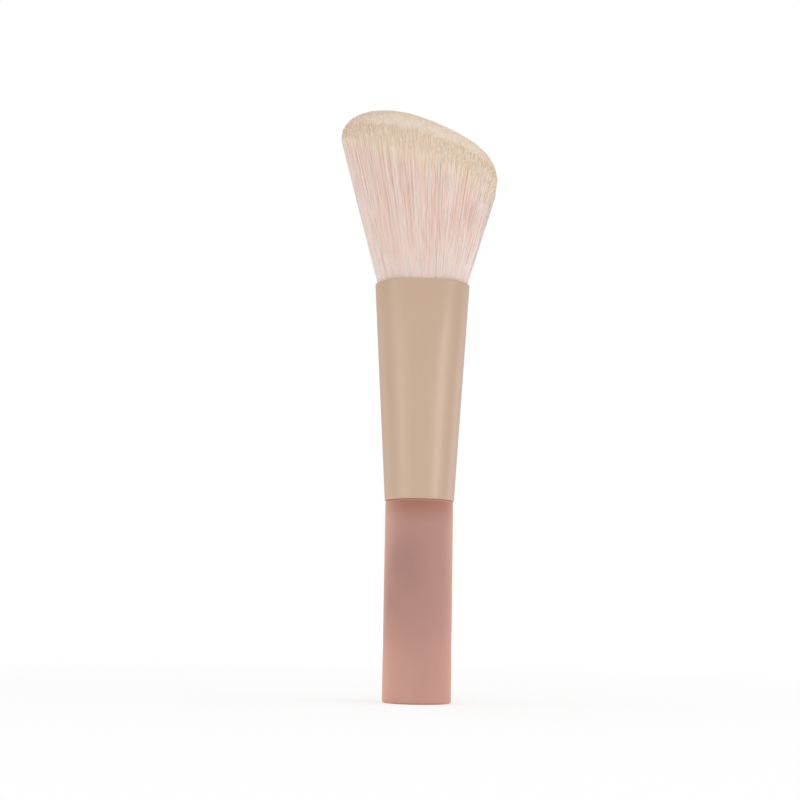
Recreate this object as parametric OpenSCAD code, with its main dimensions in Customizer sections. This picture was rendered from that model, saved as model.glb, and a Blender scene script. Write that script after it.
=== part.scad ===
// Contour brush: a round handle, a drawn ferrule that runs from a round socket to an
// oval mouth pressed flatter on its two broad faces, and a slanted, domed tuft.
// Millimetres. The handle's flat end lies on z = 0 with its centre at the origin, +Z runs
// up to the tuft, the broad faces look along -Y and +Y, and the long side of the tuft
// is at -X.

/* [Handle] */
// Diameter of the handle
handle_d = 12.9; // [11:0.1:16]
// Length of handle that shows below the ferrule
handle_l = 37.6; // [28:0.2:90]
// Round on the bottom edge of the handle
foot_round = 0.5; // [0.3:0.1:1.5]
// How far the handle draws in at its top edge, just under the ferrule
shoulder_bevel = 0.12; // [0.05:0.01:0.15]
// Height of the sloped band that draws it in
shoulder_h = 0.45; // [0.1:0.05:1]
// Length of the tenon that goes up inside the ferrule
tenon_l = 13.6; // [11:0.2:18]
// Depth of the glue space cut round the tenon
tenon_relief = 0.5; // [0.3:0.05:0.8]
// Bevel on the tenon's leading edge
tenon_bevel = 0.7; // [0.3:0.1:1.2]
// Number of ribs that stand in the glue, spread evenly along it
rib_count = 3; // [1:1:4]
// Height of each rib along the tenon
rib_l = 0.9; // [0.5:0.1:1.2]
// How far each rib stands out of the relieved tenon
rib_rise = 0.3; // [0.1:0.05:0.4]

/* [Ferrule] */
// Length of the ferrule
ferrule_l = 42.2; // [36:0.2:60]
// Wall thickness of the ferrule
wall = 0.45; // [0.35:0.05:0.6]
// How far the ferrule's edge stands proud of the handle
ferrule_lap = 0.15; // [0.05:0.05:0.3]
// Length of the round land inside the ferrule that fits the tenon
land_l = 2.4; // [1.5:0.1:4]
// Width of the mouth across the broad faces
mouth_w = 18.4; // [15:0.1:24]
// Depth of the drawn tube at the mouth, before it is pressed
tube_mouth_d = 14.1; // [12:0.1:18]
// How far each broad face is pressed in at the mouth
press = 0.6; // [0.3:0.05:0.9]
// How far the pressed faces reach down from the mouth
press_l = 14; // [8:0.5:20]
// Width of the oval die that presses the faces
die_w = 28; // [26:0.5:60]
// Softness of the edge where a pressed face meets the tube
press_blend = 0.5; // [0.2:0.05:0.8]
// Round on the lip of the mouth
lip_round = 0.1; // [0.08:0.01:0.22]
// Bevel on the ferrule's edge at the handle
edge_bevel = 0.1; // [0.05:0.01:0.15]

/* [Tuft] */
// Angle of the tuft's long side from the brush's axis
long_side_angle = 15; // [5:0.5:22]
// Angle of the tuft's short side from the brush's axis
short_side_angle = 16.7; // [5:0.1:22]
// Height above the mouth at which the long side starts to round over
long_side_h = 28.8; // [24:0.2:34]
// Height above the mouth at which the short side starts to round over
short_side_h = 17.8; // [14:0.2:22]
// Height above the mouth of the middle of the crest
crest_h = 32.8; // [30:0.2:40]
// Place of the crest's middle across the brush
crest_x = -1; // [-2:0.1:1]
// Slant of the crest down towards the short side
crest_slant = 20.5; // [12:0.5:28]
// Fullness of the long side's corner, at the side and at the crest
long_corner = [3.1, 14.6]; // [3:0.1:16]
// Fullness of the short side's corner, at the side and at the crest
short_corner = [11.5, 6.7]; // [5:0.1:12]
// Thickness of the tuft from its front face to its back face
tuft_d = 16.9; // [13:0.1:22]
// How soon the dome thins towards the crest: 1 is in step with its width, less is later
dome_thinning = 0.45; // [0.35:0.05:1]

/* [Root] */
// Depth to which the bristles go down inside the ferrule
root_l = 16; // [14:0.2:18]
// How far the tied roots draw in from the ferrule's wall
root_draw = 1.4; // [1.2:0.05:1.8]
// Diameter of the binding thread
thread_d = 0.5; // [0.3:0.05:0.6]
// Turns of thread round the roots
thread_turns = 4; // [3:1:6]
// Height of the lowest turn above the ends of the roots
thread_rise = 1; // [0.5:0.1:1.5]
// Thickness of the glue under the ends of the roots
root_glue_floor = 1.8; // [1:0.1:3]
// Height of drawn-in roots and resin above the top turn
root_glue_rise = 1.4; // [0.6:0.1:2.5]
// Height over which the roots widen again to fill the ferrule
root_flare = 4; // [3:0.2:5]

/* [Clearances] */
// Gap all round between the tenon and the ferrule's land
tenon_gap = 0.05; // [0.03:0.01:0.1]
// Gap between the bristles and the ferrule's wall
bristle_gap = 0.1; // [0.05:0.01:0.2]
// Gap between glue or thread and what it lies against
film_gap = 0.05; // [0.04:0.01:0.08]

/* [Detail] */
// Facets round the ferrule and the tuft
facets = 72; // [36:12:96]
// Facets round the hidden thread and root glue
hidden_facets = 48; // [36:12:72]

/* [Hidden] */
$fn = 96;

// Heights up the brush
tenon_top = handle_l + tenon_l;
land_top = handle_l + land_l;
mouth_z = handle_l + ferrule_l;
press_z = mouth_z - press_l;
root_z = mouth_z - root_l;
tied_top = root_z + thread_rise + thread_turns * thread_d + root_glue_rise;
flared_z = tied_top + root_flare;
// Radii at the joint of handle and ferrule
handle_r = handle_d / 2;
socket_r = handle_r + ferrule_lap;
land_r = socket_r - wall;
tenon_r = land_r - tenon_gap;
relieved_r = tenon_r - tenon_relief;
rib_pitch = (tenon_top - tenon_bevel - land_top) / (rib_count + 1);
// Insets from the ferrule's outer face
bore_inset = wall + film_gap;
bristle_inset = wall + bristle_gap;
tied_inset = wall + root_draw;
thread_inset = tied_inset - film_gap;
// Rows of facets along the tube, the pressed faces, the fan and the dome, and how much
// closer together the dome's rows lie towards its crest
tube_rows = 6;
press_rows = 14;
fan_rows = 8;
dome_rows = 13;
dome_pace = 1.6;
lip_steps = 3;
overlap = 1;

// Value between a and b, a share t of the way
function mix(a, b, t) = a + (b - a) * t;

// The lower of a and b, with a soft corner k wide where they cross
function soft_min(a, b, k) = min(a, b) - pow(max(k - abs(a - b), 0), 2) / (4 * k);

// Radius of an ellipse with half axes w and d in the direction th
function ellipse_r(w, d, th) = 1 / norm([cos(th) / w, sin(th) / d]);

// Half width and half depth of the drawn tube at height z
function tube_w(z) = mix(socket_r, mouth_w / 2, (z - handle_l) / ferrule_l);
function tube_d(z) = mix(socket_r, tube_mouth_d / 2, (z - handle_l) / ferrule_l);

// Half depth of the die at height z: it leaves the tube's face at press_z
function die_d(z) = mix(tube_mouth_d / 2 - press, tube_d(press_z), (mouth_z - z) / press_l);

// Radius of the ferrule's outer face at height z in the direction th
function ferrule_r(z, th) = soft_min(
    ellipse_r(tube_w(z), tube_d(z), th),
    ellipse_r(die_w / 2, die_d(z), th),
    press_blend);

// Direction of the p-th degree round an ellipse with half axes w and d
function direction(w, d, p) = atan2(d * sin(p), w * cos(p));

// One level ring of n points, inset from the ferrule's outer face
function ring(z, inset, n = facets) = [
    for (i = [0 : n - 1])
        let (th = direction(tube_w(z), tube_d(z), 360 * i / n), r = ferrule_r(z, th) - inset)
            [r * cos(th), r * sin(th), z]];

// Faces of one band between ring i and ring k, n points each
function band(i, k, n) = [
    for (j = [0 : n - 1])
        let (a = i * n + j, b = i * n + (j + 1) % n, c = k * n + (j + 1) % n, d = k * n + j)
            each [[a, d, c], [a, c, b]]];

// Solid skin over a loop of rings, the last joined to the first
module loft_loop(rings) {
    n = len(rings[0]);
    polyhedron(
        [for (r = rings) each r],
        [for (i = [0 : len(rings) - 1]) each band(i, (i + 1) % len(rings), n)],
        convexity = 6);
}

// Solid skin over a stack of rings with a flat bottom, closed at the top by a tip or flat
module loft_stack(rings, tip = undef) {
    n = len(rings[0]);
    top = (len(rings) - 1) * n;
    polyhedron(
        [for (r = rings) each r, if (tip != undef) tip],
        concat(
            [[for (j = [0 : n - 1]) j]],
            [for (i = [0 : len(rings) - 2]) each band(i, i + 1, n)],
            tip == undef
                ? [[for (j = [n - 1 : -1 : 0]) top + j]]
                : [for (j = [0 : n - 1]) [top + j, top + n, top + (j + 1) % n]]),
        convexity = 4);
}

// Tenon outline, grown by gap: locating collar, relieved glue space, ribs and bevel
module tenon_profile(gap = 0) {
    translate([0, handle_l - overlap])
        square([tenon_r + gap, land_l + overlap + gap]);
    polygon([
        [0, handle_l],
        [relieved_r + gap, handle_l],
        [relieved_r + gap, tenon_top - tenon_bevel],
        [relieved_r + gap - tenon_bevel, tenon_top + gap],
        [0, tenon_top + gap]]);
    for (i = [1 : rib_count])
        translate([0, land_top + i * rib_pitch - rib_l / 2 - gap])
            square([relieved_r + rib_rise + gap, rib_l + 2 * gap]);
}

// Handle: one moulded round bar with a tenon
module handle() {
    color([0.75, 0.58, 0.53])
        rotate_extrude() {
            translate([0, foot_round])
                square([handle_r, handle_l - foot_round - shoulder_h]);
            square([handle_r - foot_round, 2 * foot_round]);
            translate([handle_r - foot_round, foot_round])
                intersection() {
                    circle(foot_round);
                    translate([0, -foot_round])
                        square(foot_round);
                }
            polygon([
                [0, handle_l - shoulder_h],
                [handle_r, handle_l - shoulder_h],
                [handle_r - shoulder_bevel, handle_l],
                [0, handle_l]]);
            tenon_profile();
        }
}

// Handle glue: fills the space between the relieved tenon and the oval ferrule
module handle_glue() {
    z_low = land_top + film_gap;
    z_high = tenon_top - tenon_bevel;
    color([0.86, 0.8, 0.62])
        difference() {
            loft_stack([for (i = [0 : 3]) ring(mix(z_low, z_high, i / 3), bore_inset)]);
            rotate_extrude()
                tenon_profile(film_gap);
        }
}

// Rings over the ferrule's rounded lip, from the outer face to the inner face
function lip_rings() = [
    for (i = [1 : lip_steps])
        let (a = 90 * i / lip_steps)
            ring(mouth_z - lip_round * (1 - sin(a)), lip_round * (1 - cos(a))),
    for (i = [0 : lip_steps])
        let (a = 90 * i / lip_steps)
            ring(mouth_z - lip_round * (1 - cos(a)), wall - lip_round * (1 - sin(a)))];

// Ferrule: thin drawn tube, round at the handle, pressed oval at the mouth
module ferrule() {
    outer = [
        ring(handle_l, edge_bevel),
        for (i = [0 : tube_rows - 1])
            ring(mix(handle_l + edge_bevel, press_z - press_blend, i / tube_rows), 0),
        for (i = [0 : press_rows])
            ring(mix(press_z - press_blend, mouth_z - lip_round, i / press_rows), 0)];
    inner = [
        for (i = [1 : press_rows / 2])
            ring(mix(mouth_z - lip_round, press_z, 2 * i / press_rows), wall),
        for (i = [1 : tube_rows / 2])
            ring(mix(press_z, land_top, 2 * i / tube_rows), wall)];
    land = [for (z = [land_top, handle_l]) ring(z, 2 * wall + overlap)];
    color([0.79, 0.68, 0.6])
        difference() {
            loft_loop(concat(outer, lip_rings(), inner, land));
            translate([0, 0, handle_l - overlap])
                cylinder(r = land_r, h = land_l + 2 * overlap);
        }
}

// Root glue: a cup of set resin under and round the tied ends of the bristles
module root_glue() {
    n = hidden_facets;
    cup_inset = thread_inset - thread_d - film_gap;
    color([0.86, 0.8, 0.62])
        difference() {
            loft_stack([
                for (z = [root_z - film_gap - root_glue_floor, root_z, tied_top])
                    ring(z, bore_inset, n)]);
            loft_stack([
                for (z = [root_z - film_gap, tied_top + overlap])
                    ring(z, cup_inset, n)]);
        }
}

// Root binding: turns of thread laid side by side round the tied roots
module root_binding() {
    r = thread_d / 2;
    bumps = [-60, 0, 60];
    color([0.93, 0.92, 0.88])
        loft_loop([
            for (turn = [0 : thread_turns - 1], a = bumps)
                ring(root_z + thread_rise + (turn + 0.5) * thread_d + r * sin(a),
                    thread_inset - r - r * cos(a), hidden_facets),
            for (turn = [thread_turns, 0])
                ring(root_z + thread_rise + turn * thread_d, thread_inset, hidden_facets)]);
}

// Half width and half depth of the tuft where it leaves the mouth
mouth_half_w = mouth_w / 2 - bristle_inset;
mouth_half_d = tube_mouth_d / 2 - press - bristle_inset;
// Ends of the tuft's straight sides, and the middle of its crest, as [x, z]
long_end = [-mouth_half_w - long_side_h * tan(long_side_angle), mouth_z + long_side_h];
short_end = [mouth_half_w + short_side_h * tan(short_side_angle), mouth_z + short_side_h];
crest = [crest_x, mouth_z + crest_h];
along_crest = [cos(crest_slant), -sin(crest_slant)];
fan_w = norm(short_end - long_end);
// Power that carries the tuft's depth from the mouth to its full thickness
flare = ln(2 * mouth_half_d / tuft_d) / ln(2 * mouth_half_w / fan_w);

// Point on the cubic curve a, b, c, d
function curve(a, b, c, d, t) =
    pow(1 - t, 3) * a + 3 * t * pow(1 - t, 2) * b + 3 * t * t * (1 - t) * c + pow(t, 3) * d;

// Outline of the tuft's long and short corners, from the end of a side to the crest
function long_outline(t) = curve(
    long_end,
    long_end + long_corner[0] * [-sin(long_side_angle), cos(long_side_angle)],
    crest - long_corner[1] * along_crest,
    crest, t);
function short_outline(t) = curve(
    short_end,
    short_end + short_corner[0] * [sin(short_side_angle), cos(short_side_angle)],
    crest + short_corner[1] * along_crest,
    crest, t);

// Slanted ring from outline point a to outline point b, with half depth d
function slice(a, b, d, fullness) = [
    for (i = [0 : facets - 1])
        let (p = 360 * i / facets, f = fullness[i], at = (a + b) / 2 + (b - a) / 2 * f * cos(p))
            [at[0], f * d * sin(p), at[1]]];

// How much fuller than an ellipse the pressed mouth is, at each point of a ring
mouth_fullness = [
    for (i = [0 : facets - 1])
        let (th = direction(mouth_half_w, mouth_half_d, 360 * i / facets))
            (ferrule_r(mouth_z, th) - bristle_inset) / ellipse_r(mouth_half_w, mouth_half_d, th)];
even = [for (i = [0 : facets - 1]) 1];

// Bristle tuft: tied roots, a fan and a slanted dome
module bristle_tuft() {
    root = [
        ring(root_z, tied_inset),
        ring(tied_top, tied_inset),
        ring(flared_z, bristle_inset),
        for (i = [1 : 2]) ring(mix(flared_z, mouth_z, i / 3), bristle_inset)];
    fan = [
        for (i = [0 : fan_rows - 1])
            let (
                t = i / fan_rows,
                a = mix([-mouth_half_w, mouth_z], long_end, t),
                b = mix([mouth_half_w, mouth_z], short_end, t))
                slice(a, b, tuft_d / 2 * pow(norm(b - a) / fan_w, flare),
                    mix(mouth_fullness, even, 1 - pow(1 - t, 2)))];
    dome = [
        for (i = [0 : dome_rows - 1])
            let (t = 1 - pow(1 - i / dome_rows, dome_pace), a = long_outline(t), b = short_outline(t))
                slice(a, b, tuft_d / 2 * pow(norm(b - a) / fan_w, dome_thinning), even)];
    color([0.89, 0.79, 0.74])
        loft_stack(concat(root, fan, dome), [crest[0], 0, crest[1]]);
}

handle();
handle_glue();
ferrule();
root_glue();
root_binding();
bristle_tuft();
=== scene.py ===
"""Contour brush: the drawn ferrule, the filaments and every finish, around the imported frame."""

import math

import bpy
import numpy as np
from mathutils import Matrix, Vector
from mathutils.bvhtree import BVHTree


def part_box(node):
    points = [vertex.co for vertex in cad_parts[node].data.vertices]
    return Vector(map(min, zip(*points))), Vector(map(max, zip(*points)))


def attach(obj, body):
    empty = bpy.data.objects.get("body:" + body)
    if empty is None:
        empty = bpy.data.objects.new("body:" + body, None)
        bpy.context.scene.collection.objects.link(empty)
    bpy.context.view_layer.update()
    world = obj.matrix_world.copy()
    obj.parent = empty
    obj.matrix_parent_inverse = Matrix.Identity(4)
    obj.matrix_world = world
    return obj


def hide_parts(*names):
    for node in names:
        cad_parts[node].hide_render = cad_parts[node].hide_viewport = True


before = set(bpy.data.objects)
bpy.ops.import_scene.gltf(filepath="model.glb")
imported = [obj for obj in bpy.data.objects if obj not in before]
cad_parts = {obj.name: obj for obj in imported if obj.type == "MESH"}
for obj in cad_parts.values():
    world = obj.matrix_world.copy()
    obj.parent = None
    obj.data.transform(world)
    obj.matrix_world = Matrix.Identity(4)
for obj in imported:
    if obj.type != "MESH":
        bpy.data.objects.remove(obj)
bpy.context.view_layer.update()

rng = np.random.default_rng(7)
MM = 0.001

# Heights up the brush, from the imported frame, in metres
JOINT_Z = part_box("ferrule")[0].z
MOUTH_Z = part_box("ferrule")[1].z
FERRULE_L = MOUTH_Z - JOINT_Z

# The ferrule's section, in metres, as in the part's source
SOCKET_R = 6.6 * MM
MOUTH_HALF_W = 9.2 * MM
TUBE_HALF_D = 7.05 * MM
PRESS = 0.6 * MM
PRESS_L = 14 * MM
DIE_HALF_W = 14 * MM
PRESS_BLEND = 0.5 * MM
WALL = 0.45 * MM
LIP_ROUND = 0.1 * MM
LAND_L = 2.4 * MM
LAND_R = SOCKET_R - WALL
BRISTLE_GAP = 0.1 * MM

# The bevel on its lower edge, and the share of it at which the bevel's middle ring lies
EDGE_BEVEL = 0.1 * MM
BEVEL_MIDDLE = 0.3

# The stretch near the mouth over which its metal grows rougher, and from what to what
DULL_STRETCH = (66 * MM, 80 * MM)
DULL_RANGE = (0.4, 0.48)

# Points round the ferrule's rings, and its rows: outside, over the lip and inside
FERRULE_POINTS = 192
FACE_ROWS = 64
LIP_ROWS = 5
BORE_ROWS = 30

# Half the width and depth of the bundle at the mouth
ROOT_HALF_W = MOUTH_HALF_W - WALL - BRISTLE_GAP
ROOT_HALF_D = TUBE_HALF_D - PRESS - WALL - BRISTLE_GAP

# The tuft's straight sides and its half depth, as in the part's source
LONG_SIDE_ANGLE = math.radians(15)
SHORT_SIDE_ANGLE = math.radians(16.7)
LONG_SIDE_H = 28.8 * MM
SHORT_SIDE_H = 17.8 * MM
TUFT_HALF_D = 8.45 * MM

# Whole filaments round the tuft: how many, from which share of its half width out, the power
# that crowds them at its rim, in how many pieces, and where along each its points lie
SHELL_COUNT = 10000
SHELL_R = 0.92
RIM_BIAS = 0.65
SHELL_PIECES = 4
SHELL_SHARES = (-0.08, 0.15, 0.31, 0.46, 0.61, 0.75, 0.88, 0.98, 1.0)

# The tips of the filaments inside them, which are all that shows of these
INNER_COUNT = 40000
INNER_R = SHELL_R + 0.02
INNER_PIECES = 3
INNER_SHARES = (0.0, 0.88, 1.0)
INNER_L = 4 * MM

# A filament's sides, its radius, and how it thins over a stretch at each end
TUBE_SIDES = 3
FILAMENT_R = 0.062 * MM
TIP_THIN = 0.9
TAPER_L = 1.2 * MM
ROOT_THIN = 0.85
ROOT_L = 12 * MM

# Share of the straight sides up to which a filament follows the fan. From there rays find the
# dome: the step that gives their way, and how far out in the disc they start at most
FAN_SHARE = 0.9
RAY_STEP = 0.03
RAY_INSET = 0.993

# Tips: how far they stand proud of the dome, how uneven they are, and the few that end lower
TIP_PROUD = 0.08 * MM
TIP_NOISE = 0.04 * MM
LATE_SHARE = 0.015
LATE_CUT = 0.25 * MM

# Tips laid along the dome at the front and back: their greatest length, the power that makes
# long ones few, and the share of a filament from which its points are held to the dome
LAID_TIP = 2.2 * MM
LAID_POWER = 1.5
LAID_FROM = 0.8

# The dye at the tips: how uneven its edge is, and how much further down it comes at the rim
DYE_NOISE = 0.8 * MM
RIM_FROM = 0.85
RIM_DYE = 2.3 * MM

# Clumps that filaments lean towards: rings of them near the rim, and random ones further in
CLUMP_RINGS = (0.985, 0.95, 0.915, 0.88)
CLUMP_SPACING = 0.28 * MM
CLUMP_SHIFT = 0.35
CLUMP_JITTER = 0.008
INNER_CLUMPS = 500
INNER_CLUMP_R = CLUMP_RINGS[-1] - 0.05

# The ellipse on which the distance between clumps is measured, as half width and half depth, and
# the points that the length of its rim is summed over
CLUMP_HALF_W = 12 * MM
CLUMP_HALF_D = 7.5 * MM
RIM_STEPS = 721

# How strongly a clump pulls, about which share of its filaments' length, and over how much of it
CLUMP_PULL = (0.0, 0.22)
CLUMP_MIDDLE = (0.2, 0.8)
CLUMP_STRETCH = (0.12, 0.4)

# How each filament drifts by itself, held still over its root and its tip, and turns about itself
DRIFT = 0.012
DRIFT_PACE = (1.0 * math.pi, 2.5 * math.pi)
STILL_ROOT = 0.15
FREE_TIP = 0.2
TURN_NOISE = 0.08

# Shares of a filament's tone: its clump's streak, its own random share, and a painted shade by its
# depth in the tuft that makes deeper filaments pinker, which counts in full from this share of the half
# width inwards
STREAK_TONE, OWN_TONE, DEPTH_SHADE_TONE = 0.55, 0.25, 0.2
FULL_DEPTH = 0.07

# A streak's strength, how much that swells along it, and how quickly
STREAK_STRENGTH = 0.3
STREAK_SWELL = 0.2
STREAK_PACE = (1.0 * math.pi, 4.0 * math.pi)

# Painted light: towards the tuft's two sides the filaments are this much paler in tone
SIDE_FROM = 0.6
PAINTED_SIDE_LIGHT = 0.2

# The number for a place on a filament, from 0 at the mouth to 1 at the tip: it runs quickly over
# a stretch at each end and steadily between them
ROOT_STRETCH, ROOT_SHARE = 12 * MM, 0.4
TIP_STRETCH, TIP_SHARE = 10 * MM, 0.5
STEADY_SHARE = 0.1

# By that number: where the flush at the mouth ends, where the dye starts and where it is full,
# with the share of pink at the mouth and the share of streaks there
FLUSH_END = 0.15
DYE_START = 0.56
DYE_FULL = 0.9
MOUTH_PINK = 0.62
MOUTH_STREAKS = 0.2

# The core under the filaments, and its points round, its rows and its cap's rows
CORE_R = 0.98
CORE_COVER = 0.25 * MM
# Painted shade: the core's pinker tone stands for the shaded gaps between filaments
CORE_SHADE_TONE = 0.9
CORE_POINTS = 120
CORE_ROWS = 24
CORE_CAP_ROWS = 30

# Painted reflections: soft mauve spots on the handle's plastic, by centre and half sizes
HANDLE_REFLECTIONS = (((-2.6 * MM, -5.9 * MM, 25.5 * MM), (7 * MM, 7 * MM, 8 * MM)),
                 ((-5.6 * MM, -3.2 * MM, 19 * MM), (4.5 * MM, 5 * MM, 6.5 * MM)),
                 ((3.5 * MM, 5.4 * MM, 14 * MM), (6 * MM, 6 * MM, 8 * MM)))

# Painted light: warmer, paler stretches at the handle's sides, the same way
HANDLE_EDGE_LIGHT = (((-6.5 * MM, -2 * MM, 33 * MM), (6 * MM, 8 * MM, 9 * MM)),
                ((-5.5 * MM, -3.4 * MM, 4 * MM), (7 * MM, 8 * MM, 10 * MM)),
                ((6.5 * MM, 2 * MM, 30 * MM), (6 * MM, 8 * MM, 10 * MM)))

# Strength of the plastic's faint patches all over and of its painted light at the sides, how far its
# painted bounce light at the foot and painted shade at the joint reach, and the lower and upper edge
# of the painted highlight on the shoulder
PATCH_SHARE = 0.25
EDGE_LIGHT_SHARE = 0.55
FOOT_LIGHT_FADE = 20 * MM
JOINT_SHADE_FADE = 5 * MM
SHOULDER_HIGHLIGHT_FADE = (JOINT_Z - 0.41 * MM, JOINT_Z - 0.29 * MM)

# Texels across the map that the filaments' colours are baked to
BAKE_WIDTH = 256

# Camera: place in metres, lens and angles, found from the photograph's outline
CAMERA_AT = Vector((-4.005, -264.84, 14.692)) * MM
CAMERA_PITCH = math.radians(9.104)
CAMERA_ROLL = math.radians(0.98)
LENS_MM = 62.57
SENSOR_MM = 36
NEAR_CLIP = 10 * MM

# Floor: its colour as light meets it and as seen, its glow near and far, and half its side
FLOOR_WHITE = 0.9
FLOOR_SEEN = 0.5
FLOOR_GLOW = (0.52, 0.8)
GLOW_REACH = (0.1, 0.9)
FLOOR_HALF = 3.0

# Surroundings: their light, and how grey and how broad the sides are in reflections
WORLD_LIGHT = 0.80
SIDE_GREY = 0.86
SIDE_SPREAD = 0.3

# Lamps stand this far from the brush and face this height on it, in metres
LAMP_DISTANCE = 0.9
LAMP_AIM_Z = 60 * MM

# Lamps: degrees round from the camera's side, degrees up from level, width and height in metres
PANEL_TURN, PANEL_RISE, PANEL_SIZE = 80, 12, (0.9, 1.0)
STRIP_TURN, STRIP_RISE, STRIP_SIZE = 51, 4, (0.3, 0.3)
RIM_TURN, RIM_RISE, RIM_SIZE = 120, 4, (0.5, 0.3)
OVERHEAD_RISE, OVERHEAD_SIZE = 70, (0.8, 0.8)
FRONT_RISE, FRONT_SIZE = 6, (0.5, 0.5)

# Watts, at the left and the right for the paired lamps, and the cool colours of two pairs
PANEL_WATTS = (1.0, 2.0)
STRIP_WATTS = (0.13, 0.25)
RIM_WATTS = (0.07, 0.16)
OVERHEAD_WATTS = 0.6
FRONT_WATTS = 0.3
STRIP_COLOUR = (0.6, 0.85, 1.0)
RIM_COLOUR = (0.6, 0.75, 1.0)


class Nodes:
    """The node tree of a material or of the world, with a short way to add and join nodes."""

    def __init__(self, owner):
        owner.use_nodes = True
        self.owner = owner
        self.tree = owner.node_tree
        self.tree.nodes.clear()

    def add(self, kind, **values):
        """A new node, with its properties set."""
        node = self.tree.nodes.new(kind)
        for key, value in values.items():
            setattr(node, key, value)
        return node

    def link(self, out, into):
        """Joins an output to an input."""
        self.tree.links.new(out, into)

    def put(self, socket, value):
        """Links an output to the socket, or sets the socket to a value."""
        if isinstance(value, bpy.types.NodeSocket):
            self.link(value, socket)
        else:
            socket.default_value = value

    def attribute(self, name):
        """A mesh attribute's value."""
        return self.add("ShaderNodeAttribute", attribute_name=name).outputs["Fac"]

    def math(self, operation, *values):
        """The result of a Math node."""
        node = self.add("ShaderNodeMath", operation=operation)
        for socket, value in zip(node.inputs, values):
            self.put(socket, value)
        return node.outputs[0]

    def range(self, value, low, high, to_low=0.0, to_high=1.0):
        """A value eased from one range to another."""
        node = self.add("ShaderNodeMapRange", interpolation_type="SMOOTHSTEP")
        for socket, v in zip(node.inputs, (value, low, high, to_low, to_high)):
            self.put(socket, v)
        return node.outputs[0]

    def mix(self, share, a, b):
        """A colour between a and b."""
        node = self.add("ShaderNodeMix", data_type="RGBA", clamp_factor=True)
        self.put(node.inputs["Factor"], share)
        self.put(node.inputs[6], a)
        self.put(node.inputs[7], b)
        return node.outputs[2]

    def noise(self, vector, scale, detail):
        """Smooth noise, from 0 to 1."""
        node = self.add("ShaderNodeTexNoise")
        self.put(node.inputs["Vector"], vector)
        node.inputs["Scale"].default_value = scale
        node.inputs["Detail"].default_value = detail
        return node.outputs["Fac"]

    def place(self):
        """The place on the object, in metres."""
        return self.add("ShaderNodeTexCoord").outputs["Object"]

    def height(self):
        """The height on the object, in metres."""
        up = self.add("ShaderNodeSeparateXYZ")
        self.link(self.place(), up.inputs[0])
        return up.outputs["Z"]

    def stretched(self, scale, offset=(0, 0, 0)):
        """The place on the object, scaled along each axis and moved."""
        node = self.add("ShaderNodeMapping")
        self.link(self.place(), node.inputs["Vector"])
        node.inputs["Scale"].default_value = scale
        node.inputs["Location"].default_value = offset
        return node.outputs[0]

    def surface(self, **values):
        """The surface shader, with its sockets set."""
        shader = self.add("ShaderNodeBsdfPrincipled")
        for key, value in values.items():
            self.put(shader.inputs[key.replace("_", " ")], value)
        out = self.add("ShaderNodeOutputMaterial")
        self.link(shader.outputs[0], out.inputs["Surface"])
        return shader

    def bump(self, shader, height, strength, distance):
        """Fine relief on the shader."""
        node = self.add("ShaderNodeBump")
        node.inputs["Strength"].default_value = strength
        node.inputs["Distance"].default_value = distance
        self.link(height, node.inputs["Height"])
        self.link(node.outputs[0], shader.inputs["Normal"])

    def seen_rays(self):
        """1 for camera, glossy and transmission rays, which see the plain white surroundings."""
        path = self.add("ShaderNodeLightPath")
        either = self.math("MAXIMUM", path.outputs["Is Camera Ray"], path.outputs["Is Glossy Ray"])
        return self.math("MAXIMUM", either, path.outputs["Is Transmission Ray"])


def new_material(name):
    """The empty node tree of a new material."""
    return Nodes(bpy.data.materials.new(name))


def srgb(r, g, b):
    """A colour given as a screen shows it, from 0 to 255, as Blender's linear colour."""
    def linear(c):
        c /= 255
        return c / 12.92 if c <= 0.04045 else ((c + 0.055) / 1.055) ** 2.4
    return (linear(r), linear(g), linear(b), 1.0)


def cloud(n, centre, half):
    """1 at the centre of a soft cloud and 0 outside it; half holds its half sizes."""
    scale = tuple(1 / h for h in half)
    offset = tuple(-c / h for c, h in zip(centre, half))
    distance = n.add("ShaderNodeVectorMath", operation="LENGTH")
    n.link(n.stretched(scale, offset), distance.inputs[0])
    return n.range(distance.outputs["Value"], 0.0, 1.0, 1.0, 0.0)


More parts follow.
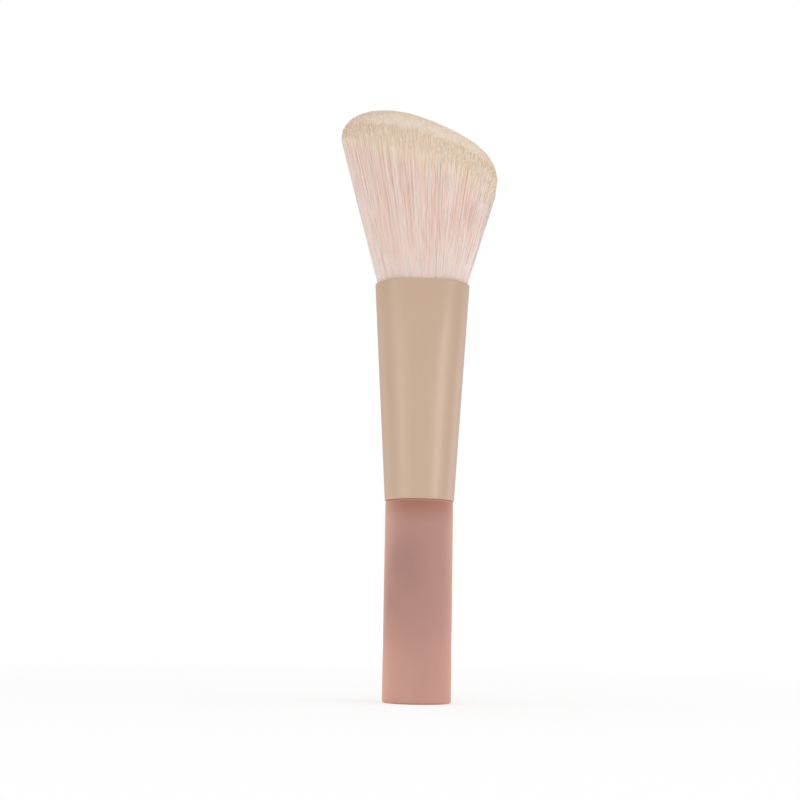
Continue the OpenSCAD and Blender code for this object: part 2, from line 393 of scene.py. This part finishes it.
def handle_material():
    """Satin plastic with faint patches, and painted light on it: a warm shade near the joint, bounce
    light that makes the foot paler, mauve reflections, paler sides and a highlight on the shoulder.
    """
    n = new_material("handle_plastic")
    # Painted light among these colours: foot is painted bounce light, top a painted warm shade, peach
    # painted light at the sides, mauve painted reflections and shoulder a painted highlight
    foot, middle, top = srgb(207, 157, 143), srgb(184, 138, 126), srgb(167, 111, 92)
    peach, mauve, shoulder_highlight = srgb(216, 168, 151), srgb(170, 129, 121), srgb(190, 137, 120)
    up = n.height()
    # Painted bounce light from the floor: the colour grows paler towards the foot
    plain = n.mix(n.range(up, 0, FOOT_LIGHT_FADE), foot, middle)
    # Painted shade: darker and warmer towards the joint, under the ferrule
    joint_shaded = n.mix(n.range(up, JOINT_Z - JOINT_SHADE_FADE, JOINT_Z), plain, top)
    patchy = n.range(n.noise(n.stretched((1, 1, 0.6)), scale=120, detail=2.0), 0.3, 0.7)
    painted_edge_light, mottle_and_reflections = 0.0, n.math("MULTIPLY", patchy, PATCH_SHARE)
    # Painted light: paler, warmer stretches at the handle's sides
    for centre, half in HANDLE_EDGE_LIGHT:
        painted_edge_light = n.math("MAXIMUM", cloud(n, centre, half), painted_edge_light)
    # Painted reflections: mauve spots at the listed places, over the plastic's faint patches
    for centre, half in HANDLE_REFLECTIONS:
        reflection_spot = n.math("MULTIPLY", cloud(n, centre, half), n.range(patchy, 0, 1, 0.6, 1.0))
        mottle_and_reflections = n.math("MAXIMUM", mottle_and_reflections, reflection_spot)
    body = n.mix(mottle_and_reflections, n.mix(n.math("MULTIPLY", painted_edge_light, EDGE_LIGHT_SHARE), joint_shaded, peach), mauve)
    # Painted highlight: a lighter rose band on the shoulder just under the joint
    base = n.mix(n.range(up, *SHOULDER_HIGHLIGHT_FADE), body, shoulder_highlight)
    shader = n.surface(Base_Color=base, Roughness=0.42, Specular_IOR_Level=0.3,
                       Sheen_Weight=0.85, Sheen_Roughness=0.5, Sheen_Tint=srgb(255, 190, 160))
    n.bump(shader, n.noise(n.place(), scale=9000, detail=2.0), strength=0.06, distance=0.02 * MM)
    return n.owner


def ferrule_material():
    """Satin champagne metal, drawn lengthwise and a little rougher towards the mouth."""
    n = new_material("ferrule_metal")
    light, dark = srgb(203, 175, 152), srgb(198, 170, 148)
    base = n.mix(n.noise(n.stretched((1, 1, 0.25)), scale=260, detail=3.0), light, dark)
    rough = n.range(n.height(), *DULL_STRETCH, *DULL_RANGE)
    shader = n.surface(Base_Color=base, Metallic=1.0, Roughness=rough,
                       Specular_Tint=srgb(232, 214, 208), Coat_Weight=0.5, Coat_Roughness=0.25)
    grain = n.noise(n.stretched((1, 1, 0.05)), scale=14000, detail=2.0)
    n.bump(shader, grain, strength=0.05, distance=0.01 * MM)
    return n.owner


def resin_material():
    """Clear amber resin, set."""
    n = new_material("set_resin")
    amber, dark = srgb(222, 200, 150), srgb(206, 180, 126)
    base = n.mix(n.noise(n.place(), scale=700, detail=2.0), amber, dark)
    n.surface(Base_Color=base, Roughness=0.25)
    return n.owner


def thread_material():
    """Off-white waxed thread."""
    n = new_material("binding_thread")
    light, dark = srgb(240, 236, 226), srgb(222, 216, 202)
    base = n.mix(n.noise(n.stretched((1, 1, 6)), scale=3000, detail=2.0), light, dark)
    n.surface(Base_Color=base, Roughness=0.8)
    return n.owner


def bristle_material():
    """Filaments in white and pink by their tone, flushed at the mouth, with cream dyed tips."""
    n = new_material("bristle_filament")
    white, pink, flush = srgb(242, 231, 224), srgb(242, 187, 166), srgb(242, 220, 210)
    light_cream, dark_cream, tip = srgb(246, 232, 215), srgb(242, 212, 181), srgb(239, 226, 210)
    tone, along = n.attribute("tone"), n.attribute("along")
    pinkness = n.math("MULTIPLY", tone, n.range(along, 0, ROOT_SHARE, MOUTH_PINK, 1.0))
    streaks = n.mix(pinkness, white, pink)
    body = n.mix(n.range(along, 0.0, FLUSH_END, MOUTH_STREAKS, 1.0), flush, streaks)
    cream = n.mix(tone, light_cream, dark_cream)
    dyed = n.mix(n.range(along, DYE_START, DYE_FULL), body, cream)
    colour = n.mix(n.range(along, DYE_FULL, 1.0), dyed, tip)
    n.surface(Base_Color=colour, Roughness=0.6, Specular_IOR_Level=0.3)
    return n.owner


def along_value(height, tip):
    """The number for a place on a filament, by its distances from the mouth and from the tip."""
    steady = STEADY_SHARE * height / (height + tip)
    near_root = np.interp(height, [0, ROOT_STRETCH], [0, ROOT_SHARE])
    near_tip = np.interp(tip, [0, TIP_STRETCH], [TIP_SHARE, 0])
    return steady + near_root + near_tip


def mesh_piece(name, points, faces, material, smooth=True):
    """A mesh object from an array of points and an array of faces of one size."""
    faces = np.asarray(faces)
    mesh = bpy.data.meshes.new(name)
    mesh.vertices.add(len(points))
    mesh.vertices.foreach_set("co", np.asarray(points, np.float32).ravel())
    mesh.loops.add(faces.size)
    mesh.loops.foreach_set("vertex_index", faces.ravel().astype(np.int32))
    mesh.polygons.add(len(faces))
    mesh.polygons.foreach_set("loop_start", np.arange(len(faces), dtype=np.int32) * faces.shape[1])
    mesh.polygons.foreach_set("use_smooth", np.full(len(faces), smooth))
    mesh.update(calc_edges=True)
    mesh.validate()
    mesh.materials.append(material)
    piece = bpy.data.objects.new(name, mesh)
    bpy.context.scene.collection.objects.link(piece)
    return piece


def ellipse_r(w, d, th):
    """Radius at angle th of an ellipse with half width w and half depth d."""
    return 1 / np.hypot(np.cos(th) / w, np.sin(th) / d)


def mix(a, b, t):
    """The value a share t of the way from a to b."""
    return a + (b - a) * t


def drawn_tube(z):
    """Half width and half depth of the drawn tube at height z, before it is pressed."""
    t = (z - JOINT_Z) / FERRULE_L
    return mix(SOCKET_R, MOUTH_HALF_W, t), mix(SOCKET_R, TUBE_HALF_D, t)


def ferrule_r(z, th):
    """Radius of the ferrule's outer face: the drawn tube, pressed by the oval die."""
    tube = ellipse_r(*drawn_tube(z), th)
    at_press = mix(SOCKET_R, TUBE_HALF_D, 1 - PRESS_L / FERRULE_L)
    die_d = mix(TUBE_HALF_D - PRESS, at_press, (MOUTH_Z - z) / PRESS_L)
    die = ellipse_r(DIE_HALF_W, die_d, th)
    soft = np.maximum(PRESS_BLEND - np.abs(tube - die), 0) ** 2 / (4 * PRESS_BLEND)
    return np.minimum(tube, die) - soft


def ferrule_ring(z, inset, round_r=None):
    """One level ring of the ferrule, inset from its outer face, or a circle of radius round_r."""
    w, d = drawn_tube(z)
    p = np.arange(FERRULE_POINTS) * 2 * np.pi / FERRULE_POINTS
    th = np.arctan2(d * np.sin(p), w * np.cos(p))
    r = np.full(FERRULE_POINTS, round_r) if round_r else ferrule_r(z, th) - inset
    return np.stack([r * np.cos(th), r * np.sin(th), np.full(FERRULE_POINTS, z)], 1)


def band_faces(rings, count, closed):
    """Quads between neighbouring rings of count points."""
    i = np.arange(rings if closed else rings - 1)[:, None]
    j = np.arange(count)[None, :]
    k, m = (i + 1) % rings, (j + 1) % count
    return np.stack([i * count + j, i * count + m, k * count + m, k * count + j], -1).reshape(-1, 4)


def lip_rings():
    """Height and inset of the rings over the ferrule's rounded lip, from outside to inside."""
    rise = [math.pi / 2 * i / LIP_ROWS for i in range(LIP_ROWS + 1)]
    by_cos = [LIP_ROUND * (1 - math.cos(a)) for a in rise]
    by_sin = [LIP_ROUND * (1 - math.sin(a)) for a in rise]
    outside = [(MOUTH_Z - s, c) for s, c in zip(by_sin, by_cos)]
    inside = [(MOUTH_Z - c, WALL - s) for s, c in zip(by_sin, by_cos)]
    return outside[1:] + inside


def make_ferrule():
    """The ferrule as a smooth shell: outer face, rounded lip, inner face and round land."""
    top, low, land_top = MOUTH_Z - LIP_ROUND, JOINT_Z + EDGE_BEVEL, JOINT_Z + LAND_L
    rings = [(JOINT_Z, EDGE_BEVEL), (JOINT_Z + EDGE_BEVEL * BEVEL_MIDDLE, EDGE_BEVEL * BEVEL_MIDDLE)]
    rings += [(low + (top - low) * i / FACE_ROWS, 0.0) for i in range(FACE_ROWS + 1)]
    rings += lip_rings()
    rings += [(top + (land_top - top) * i / BORE_ROWS, WALL) for i in range(1, BORE_ROWS + 1)]
    rings += [(land_top, 0, LAND_R), (JOINT_Z, 0, LAND_R)]
    points = np.concatenate([ferrule_ring(*ring) for ring in rings])
    faces = band_faces(len(rings), FERRULE_POINTS, closed=True)
    return mesh_piece("ferrule_shell", points, faces, ferrule_material())


def side_lines():
    """The tuft's long and short sides in the XZ plane: start and end of the one, then of the other."""
    long_start, short_start = np.array([-ROOT_HALF_W, MOUTH_Z]), np.array([ROOT_HALF_W, MOUTH_Z])
    long_end = long_start + [-LONG_SIDE_H * math.tan(LONG_SIDE_ANGLE), LONG_SIDE_H]
    short_end = short_start + [SHORT_SIDE_H * math.tan(SHORT_SIDE_ANGLE), SHORT_SIDE_H]
    return long_start, long_end, short_start, short_end


def fan_point(a, b, t):
    """Point of the fan for a place (a, b) in the unit disc, a share t up the straight sides."""
    long_start, long_end, short_start, short_end = side_lines()
    a, b, t = (np.asarray(v, float)[..., None] for v in (a, b, t))
    left = mix(long_start, long_end, t)
    right = mix(short_start, short_end, t)
    chord = np.linalg.norm(right - left, axis=-1, keepdims=True)
    fan_w = np.linalg.norm(short_end - long_end)
    flare = math.log(ROOT_HALF_D / TUFT_HALF_D) / math.log(2 * ROOT_HALF_W / fan_w)
    depth = TUFT_HALF_D * (chord / fan_w) ** flare
    at = mix(left, right, (a + 1) / 2)
    return np.concatenate([at[..., :1], b * depth, at[..., 1:]], -1)


def fan_length(a, b, base):
    """Length of each filament from the mouth to its place where it leaves the fan."""
    return np.linalg.norm(base - fan_point(a, b, np.zeros(len(a))), axis=1)


def dome_reach(a, b, tree):
    """Each filament's place and way where it leaves the fan, and how far on it meets the dome."""
    base = fan_point(a, b, np.full(len(a), FAN_SHARE))
    ahead = fan_point(a, b, np.full(len(a), FAN_SHARE + RAY_STEP)) - base
    ahead /= np.linalg.norm(ahead, axis=1, keepdims=True)
    inset = np.minimum(RAY_INSET / np.maximum(np.hypot(a, b), RAY_INSET), 1)
    inner = fan_point(a * inset, b * inset, np.full(len(a), FAN_SHARE))
    reach = [tree.ray_cast(Vector(at), Vector(way))[3] or 0.0 for at, way in zip(inner, ahead)]
    return base, ahead, np.array(reach)


def disc(count, r_low, r_high, bias=1.0):
    """Random places between two radii of the unit disc, denser at the rim for a bias under 1."""
    r = np.sqrt(r_low ** 2 + (r_high ** 2 - r_low ** 2) * rng.random(count) ** bias)
    p = rng.random(count) * 2 * np.pi
    return r * np.cos(p), r * np.sin(p)


def clump_centres():
    """Clump places: rows of even spacing round the rim of the tuft, and random ones further in."""
    turn = np.linspace(0, 2 * np.pi, RIM_STEPS)
    x, y = CLUMP_HALF_W * np.cos(turn), CLUMP_HALF_D * np.sin(turn)
    run = np.concatenate([[0], np.cumsum(np.hypot(np.diff(x), np.diff(y)))])
    a, b = [], []
    for r in CLUMP_RINGS:
        count = int(run[-1] * r / CLUMP_SPACING)
        share = (np.arange(count) + rng.uniform(-CLUMP_SHIFT, CLUMP_SHIFT, count)) / count
        p = np.interp(share * run[-1], run, turn)
        jitter = r + rng.normal(0, CLUMP_JITTER, count)
        a.append(jitter * np.cos(p))
        b.append(jitter * np.sin(p))
    inner_a, inner_b = disc(INNER_CLUMPS, 0, INNER_CLUMP_R)
    return np.concatenate([*a, inner_a]), np.concatenate([*b, inner_b])


def nearest(a, b, centre_a, centre_b, batch=4000):
    """Number of the centre nearest to each place, by real distance at half the tuft's height."""
    near = np.empty(len(a), int)
    for i in range(0, len(a), batch):
        part = slice(i, i + batch)
        near[part] = ((CLUMP_HALF_W * (a[part, None] - centre_a)) ** 2
                      + (CLUMP_HALF_D * (b[part, None] - centre_b)) ** 2).argmin(1)
    return near


def make_clumps():
    """Clumps of filaments: place, the strength and stretch of their pull, and their streak of tone."""
    a, b = clump_centres()
    count = len(a)
    return {"a": a, "b": b, "pull": rng.uniform(*CLUMP_PULL, count),
            "middle": rng.uniform(*CLUMP_MIDDLE, count), "stretch": rng.uniform(*CLUMP_STRETCH, count),
            "phase": rng.random(count) * 2 * np.pi, "pace": rng.uniform(*STREAK_PACE, count),
            "turn": np.arange(count) % 2 * 2 - 1}


def lay_on_dome(points, tree):
    """Moves points that have left the dome back onto it, so that long tips lie along it."""
    for i, at in enumerate(points):
        near, normal, _, _ = tree.find_nearest(Vector(at))
        out = (Vector(at) - near).dot(normal) - TIP_PROUD
        if out > 0:
            points[i] = at - np.array(normal) * out


def tip_trim(count):
    """How much shorter than the way to the dome each filament is cut, or longer for less than 0."""
    short = np.abs(rng.normal(0, TIP_NOISE, count)) - TIP_PROUD
    return short + np.where(rng.random(count) < LATE_SHARE, rng.uniform(0, LATE_CUT, count), 0)


def own_tone_and_painted_light(a, b):
    """Each filament's part of its tone apart from streaks: random, with painted shade that makes it
    pinker inside and painted light that makes it paler at the tuft's sides.
    """
    # Painted shade: filaments deeper in the tuft are pinker, as the gaps between them are shaded
    depth = np.clip((1 - np.hypot(a, b)) / FULL_DEPTH, 0, 1)
    # Painted light: filaments towards the tuft's two sides are paler
    side = np.clip((np.abs(a) - SIDE_FROM) / (1 - SIDE_FROM), 0, 1)
    return OWN_TONE * rng.random(len(a)) + DEPTH_SHADE_TONE * depth - PAINTED_SIDE_LIGHT * side


def filament_paths(a, b, shares, span, clumps, tree):
    """Points of filaments with places a, b in the disc, the tone at each point, their lengths,
    and how near each is to the rim. A span keeps only that much of each below its tip."""
    count = len(a)
    near = nearest(a, b, clumps["a"], clumps["b"])
    mine = {key: values[near] for key, values in clumps.items()}
    base, ahead, reach = dome_reach(a, b, tree)
    in_fan = fan_length(a, b, base)
    total = in_fan + reach - tip_trim(count)
    if span is None:
        total += LAID_TIP * np.abs(b) * rng.random(count) ** LAID_POWER
    drift = rng.normal(0, DRIFT, (2, count))
    phase, pace = rng.random((2, count)) * 2 * np.pi, rng.uniform(*DRIFT_PACE, (2, count))
    own_and_painted_tone = own_tone_and_painted_light(a, b)
    points, tone = [], []
    for share in shares:
        along = total * share if span is None else total - span * (1 - share)
        up = along / total
        free = np.clip((1 - up) / FREE_TIP, 0, 1)
        pull = mine["pull"] * np.exp(-((up - mine["middle"]) / mine["stretch"]) ** 2) * free
        wave = drift * np.sin(phase + pace * up) * np.clip(up / STILL_ROOT, 0, 1) * free
        aa = a + (mine["a"] - a) * pull + wave[0]
        bb = b + (mine["b"] - b) * pull + wave[1]
        size = np.maximum(np.hypot(aa, bb), 1)
        at = fan_point(aa / size, bb / size, np.minimum(along / in_fan, 1) * FAN_SHARE)
        at += ahead * np.maximum(along - in_fan, 0)[:, None]
        if span is None and share > LAID_FROM:
            lay_on_dome(at, tree)
        points.append(at)
        strength = STREAK_STRENGTH + STREAK_SWELL * np.sin(mine["phase"] + mine["pace"] * up)
        tone.append(own_and_painted_tone + STREAK_TONE * (0.5 + mine["turn"] * strength))
    near_rim = np.clip((np.hypot(a, b) - RIM_FROM) / (1 - RIM_FROM), 0, 1)
    return np.stack(points, 1), np.stack(tone, 1), total, near_rim


def tube_faces(steps):
    """Triangles of one tube that has steps - 1 rings, a closed foot and a pointed tip."""
    faces = [(2, 1, 0)]
    for i in range(steps - 2):
        for j in range(TUBE_SIDES):
            a, b = i * TUBE_SIDES + j, i * TUBE_SIDES + (j + 1) % TUBE_SIDES
            faces += [(a, b, b + TUBE_SIDES), (a, b + TUBE_SIDES, a + TUBE_SIDES)]
    last = (steps - 2) * TUBE_SIDES
    tip = last + TUBE_SIDES
    return np.array(faces + [(last + j, last + (j + 1) % TUBE_SIDES, tip) for j in range(TUBE_SIDES)])


def tube_frame(points):
    """Two directions square to each path at each of its points."""
    way = np.gradient(points, axis=1)
    way /= np.linalg.norm(way, axis=2, keepdims=True)
    across = np.cross(way, [0.0, 1.0, 0.0])
    across /= np.linalg.norm(across, axis=2, keepdims=True)
    return across, np.cross(way, across)


def tubes(points, tone, total, near_rim):
    """Tapered tubes along the paths, one flat side out, with the values that their colour goes by."""
    count, steps, _ = points.shape
    across, other = tube_frame(points)
    step_l = np.linalg.norm(np.diff(points, axis=1), axis=2)
    tip = np.concatenate([np.cumsum(step_l[:, ::-1], 1)[:, ::-1], np.zeros((count, 1))], 1)
    height = total[:, None] - tip
    thin = np.interp(tip, [0, TAPER_L], [TIP_THIN, 1]) * np.interp(height, [0, ROOT_L], [ROOT_THIN, 1])
    out = points * [1 / CLUMP_HALF_W ** 2, 1 / CLUMP_HALF_D ** 2, 0]
    turn = np.arctan2((out * other).sum(2), (out * across).sum(2)) + np.pi
    turn += rng.normal(0, TURN_NOISE, count)[:, None]
    angle = turn[:, :, None] + np.arange(TUBE_SIDES) * 2 * np.pi / TUBE_SIDES
    rim = np.cos(angle)[..., None] * across[:, :, None] + np.sin(angle)[..., None] * other[:, :, None]
    body = (points[:, :, None] + rim * FILAMENT_R * thin[..., None, None])[:, :-1]
    verts = np.concatenate([body.reshape(count, -1, 3), points[:, -1:]], 1)
    faces = (tube_faces(steps) + np.arange(count)[:, None, None] * verts.shape[1]).reshape(-1, 3)
    dye = np.maximum(tip + (RIM_DYE * near_rim + rng.normal(0, DYE_NOISE, count))[:, None], 0)
    along = along_value(np.maximum(height, 0), dye)
    return verts.reshape(-1, 3), faces, spread(tone), spread(along)


def spread(values):
    """Values at the points of paths, as values at the tubes' vertices."""
    return np.concatenate([np.repeat(values[:, :-1], TUBE_SIDES, 1), values[:, -1:]], 1)


def colour_values(piece, tone, along):
    """The two values that a filament's colour goes by, and the same two as a map for baking, where
    neighbouring points are set a texel apart so that no face shrinks to nothing."""
    for name, values in (("tone", tone), ("along", along)):
        made = piece.data.attributes.new(name, "FLOAT", "POINT")
        made.data.foreach_set("value", np.asarray(values, np.float32).ravel())
    nudge = np.arange(tone.size).reshape(tone.shape) % 3 - 1
    place = np.stack([tone + nudge / BAKE_WIDTH, along + np.abs(nudge) / BAKE_WIDTH], -1).reshape(-1, 2)
    corner = np.empty(len(piece.data.loops), np.int32)
    piece.data.loops.foreach_get("vertex_index", corner)
    bake = piece.data.uv_layers.new(name="OFBake")
    bake.data.foreach_set("uv", np.clip(place, 0, 1)[corner].astype(np.float32).ravel())


def make_filaments(name, places, shares, span, clumps, tree, pieces, material):
    """One family of filaments, split round the brush into pieces."""
    a, b = places
    paths = filament_paths(a, b, shares, span, clumps, tree)
    sector = ((np.arctan2(b, a) / (2 * np.pi)) % 1 * pieces).astype(int)
    made = []
    for s in range(pieces):
        verts, faces, tones, along = tubes(*(values[sector == s] for values in paths))
        piece = mesh_piece(f"{name}_{s + 1}", verts, faces, material, smooth=False)
        colour_values(piece, tones, along)
        made.append(piece)
    return made


def core_ring(r, share, tree):
    """One ring of the core, at a share of the way from the mouth to the dome, and its values."""
    p = np.arange(CORE_POINTS) * 2 * np.pi / CORE_POINTS
    a, b = r * np.cos(p), r * np.sin(p)
    base, ahead, reach = dome_reach(a, b, tree)
    in_fan = fan_length(a, b, base)
    total = in_fan + reach
    height = share * (total - CORE_COVER)
    at = fan_point(a, b, np.minimum(height / in_fan, 1) * FAN_SHARE)
    return at + ahead * np.maximum(height - in_fan, 0)[:, None], along_value(height, total - height)


def make_core(tree, material):
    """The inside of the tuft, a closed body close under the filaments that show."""
    rims = [(CORE_R, i / CORE_ROWS) for i in range(CORE_ROWS + 1)]
    rims += [(CORE_R * math.cos(math.pi / 2 * i / CORE_CAP_ROWS), 1.0) for i in range(1, CORE_CAP_ROWS)]
    points, along = zip(*(core_ring(r, share, tree) for r, share in rims))
    top_point, top_along = core_ring(0.0, 1.0, tree)
    points = np.concatenate([*points, top_point[:1], [[0, 0, MOUTH_Z]]])
    along = np.concatenate([*along, top_along[:1], [0.0]])
    count, rings = CORE_POINTS, len(rims)
    top, bottom, last = rings * count, rings * count + 1, (rings - 1) * count
    quads = band_faces(rings, count, closed=False)
    tris = [(q[0], q[1], q[2]) for q in quads] + [(q[0], q[2], q[3]) for q in quads]
    tris += [(last + j, last + (j + 1) % count, top) for j in range(count)]
    tris += [((j + 1) % count, j, bottom) for j in range(count)]
    piece = mesh_piece("bristle_core", points, np.array(tris), material)
    # The core's pinker tone is painted shade for the gaps between filaments
    colour_values(piece, np.full(len(points), CORE_SHADE_TONE), along)
    return piece


def make_bristles():
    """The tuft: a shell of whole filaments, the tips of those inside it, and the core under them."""
    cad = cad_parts["bristle_tuft"].data
    tree = BVHTree.FromPolygons([v.co for v in cad.vertices], [p.vertices for p in cad.polygons])
    material = bristle_material()
    clumps = make_clumps()
    shell = disc(SHELL_COUNT, SHELL_R, 1.0, RIM_BIAS)
    inner = disc(INNER_COUNT, 0.0, INNER_R)
    pieces = make_filaments("bristles_shell", shell, SHELL_SHARES, None,
                            clumps, tree, SHELL_PIECES, material)
    pieces += make_filaments("bristles_inner", inner, INNER_SHARES, INNER_L,
                             clumps, tree, INNER_PIECES, material)
    return pieces + [make_core(tree, material)]


def floor_material():
    """White to the light that it sends back, and seen as a darker white under a soft glow, which
    keeps the brush's shadow faint."""
    n = new_material("floor_white")
    lit, seen = n.add("ShaderNodeBsdfDiffuse"), n.add("ShaderNodeBsdfDiffuse")
    for node, white in ((lit, FLOOR_WHITE), (seen, FLOOR_SEEN)):
        node.inputs["Color"].default_value = (white, white, white, 1)
    distance = n.add("ShaderNodeVectorMath", operation="LENGTH")
    n.link(n.place(), distance.inputs[0])
    glow = n.add("ShaderNodeEmission")
    n.link(n.range(distance.outputs["Value"], *GLOW_REACH, *FLOOR_GLOW), glow.inputs["Strength"])
    both = n.add("ShaderNodeAddShader")
    n.link(seen.outputs[0], both.inputs[0])
    n.link(glow.outputs[0], both.inputs[1])
    pick = n.add("ShaderNodeMixShader")
    n.link(n.seen_rays(), pick.inputs[0])
    n.link(lit.outputs[0], pick.inputs[1])
    n.link(both.outputs[0], pick.inputs[2])
    n.link(pick.outputs[0], n.add("ShaderNodeOutputMaterial").inputs["Surface"])
    return n.owner


def make_stage():
    """White floor that keeps the brush's soft shadow."""
    points = [(-FLOOR_HALF, -FLOOR_HALF, 0), (FLOOR_HALF, -FLOOR_HALF, 0),
              (FLOOR_HALF, FLOOR_HALF, 0), (-FLOOR_HALF, FLOOR_HALF, 0)]
    mesh_piece("floor", points, [(0, 1, 2, 3)], floor_material(), smooth=False)


def make_world():
    """Even white surroundings, dimmer as light than as seen, with greyer sides in reflections."""
    world = bpy.data.worlds.new("studio")
    bpy.context.scene.world = world
    n = Nodes(world)
    dim, white = n.add("ShaderNodeBackground"), n.add("ShaderNodeBackground")
    for node, strength in ((dim, WORLD_LIGHT), (white, 1.0)):
        node.inputs["Color"].default_value = (1, 1, 1, 1)
        node.inputs["Strength"].default_value = strength
    way = n.add("ShaderNodeSeparateXYZ")
    n.link(n.add("ShaderNodeTexCoord").outputs["Generated"], way.inputs[0])
    sides = n.range(n.math("ABSOLUTE", way.outputs["Y"]), 0.0, SIDE_SPREAD, SIDE_GREY, 1.0)
    camera_ray = n.add("ShaderNodeLightPath").outputs["Is Camera Ray"]
    n.link(n.math("MAXIMUM", sides, camera_ray), white.inputs["Strength"])
    pick = n.add("ShaderNodeMixShader")
    n.link(n.seen_rays(), pick.inputs[0])
    n.link(dim.outputs[0], pick.inputs[1])
    n.link(white.outputs[0], pick.inputs[2])
    n.link(pick.outputs[0], n.add("ShaderNodeOutputWorld").inputs["Surface"])


def softbox(name, turn, rise, size, watts, colour=(1, 1, 1)):
    """A rectangular lamp that faces the brush's middle; turn 0 is at the camera's side."""
    light = bpy.data.lights.new(name, "AREA")
    light.shape = "RECTANGLE"
    light.size, light.size_y = size
    light.energy = watts
    light.color = colour
    lamp = bpy.data.objects.new(name, light)
    lamp.visible_camera = False
    bpy.context.scene.collection.objects.link(lamp)
    az, el = math.radians(turn), math.radians(rise)
    way = Vector((math.sin(az) * math.cos(el), -math.cos(az) * math.cos(el), math.sin(el)))
    facing = (-way).to_track_quat("-Z", "Y").to_matrix().to_4x4()
    lamp.matrix_world = Matrix.Translation(Vector((0, 0, LAMP_AIM_Z)) + way * LAMP_DISTANCE) @ facing
    return lamp


def make_lights():
    """At each side a broad panel, a narrow softbox towards the camera and one towards the back,
    with a lamp above and one in front."""
    for i, (name, side) in enumerate((("left", -1), ("right", 1))):
        panel = softbox(f"panel_{name}", side * PANEL_TURN, PANEL_RISE, PANEL_SIZE, PANEL_WATTS[i])
        panel.visible_glossy = False
        softbox(f"strip_{name}", side * STRIP_TURN, STRIP_RISE, STRIP_SIZE, STRIP_WATTS[i], STRIP_COLOUR)
        rim = softbox(f"rim_{name}", side * RIM_TURN, RIM_RISE, RIM_SIZE, RIM_WATTS[i], RIM_COLOUR)
        rim.visible_diffuse = False
    softbox("overhead", 0, OVERHEAD_RISE, OVERHEAD_SIZE, OVERHEAD_WATTS)
    front = softbox("front", 0, FRONT_RISE, FRONT_SIZE, FRONT_WATTS)
    front.visible_glossy = False


def make_camera():
    """The photograph's camera."""
    data = bpy.data.cameras.new("camera")
    data.sensor_width = SENSOR_MM
    data.lens = LENS_MM
    data.clip_start = NEAR_CLIP
    camera = bpy.data.objects.new("camera", data)
    bpy.context.scene.collection.objects.link(camera)
    turn = Matrix.Rotation(math.pi / 2 + CAMERA_PITCH, 4, "X") @ Matrix.Rotation(CAMERA_ROLL, 4, "Z")
    camera.matrix_world = Matrix.Translation(CAMERA_AT) @ turn
    bpy.context.scene.camera = camera


def dress_cad_nodes():
    """Finishes for the CAD nodes that stay."""
    resin = resin_material()
    worn = {"handle": handle_material(), "handle_glue": resin, "root_glue": resin,
            "root_binding": thread_material()}
    for name, material in worn.items():
        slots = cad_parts[name].data.materials
        slots.clear()
        slots.append(material)


bpy.context.scene.view_settings.view_transform = "Standard"
make_camera()
make_world()
make_lights()
make_stage()
dress_cad_nodes()

ferrule = make_ferrule()
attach(ferrule, "root")
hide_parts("ferrule")

for piece in make_bristles():
    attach(piece, "root")
    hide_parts("bristle_tuft")
